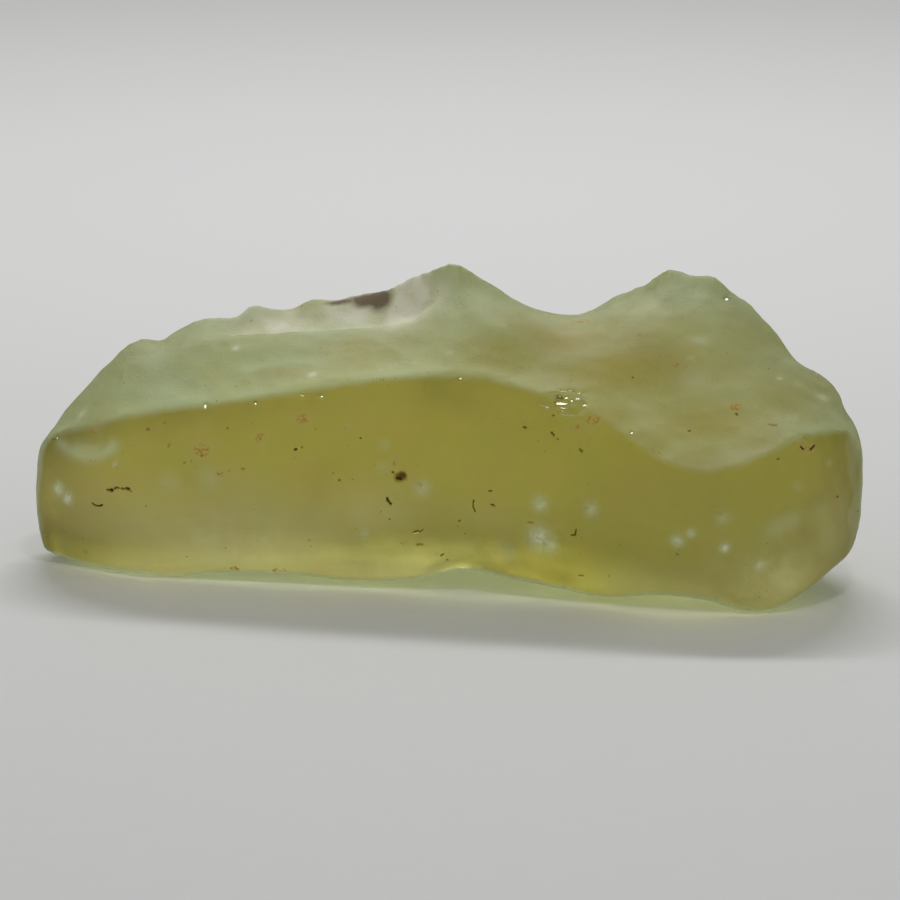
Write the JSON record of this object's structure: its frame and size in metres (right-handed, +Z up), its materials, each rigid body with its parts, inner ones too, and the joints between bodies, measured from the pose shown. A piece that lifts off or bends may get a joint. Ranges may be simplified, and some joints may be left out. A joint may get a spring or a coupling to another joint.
{
  "type": "libyan desert glass",
  "caption": "Wind-worn lump of translucent yellow-green natural glass with a tall front face, a scooped basin beside it and blunt peaks along its crest.",
  "frame": {"origin": "centre of the lump's footprint, on the surface that it rests on", "axes": "+X along the lump's length from its lower end to its higher end, -Y is its tall front face, +Z up"},
  "size_m": [0.071, 0.031, 0.0258],
  "materials": {
    "desert_glass": "translucent yellow-green natural glass, satin from wind-blown sand, with small clay-filled pits"
  },
  "bodies": {
    "root": {"desert_glass": "desert_glass"}
  },
  "joints": []
}
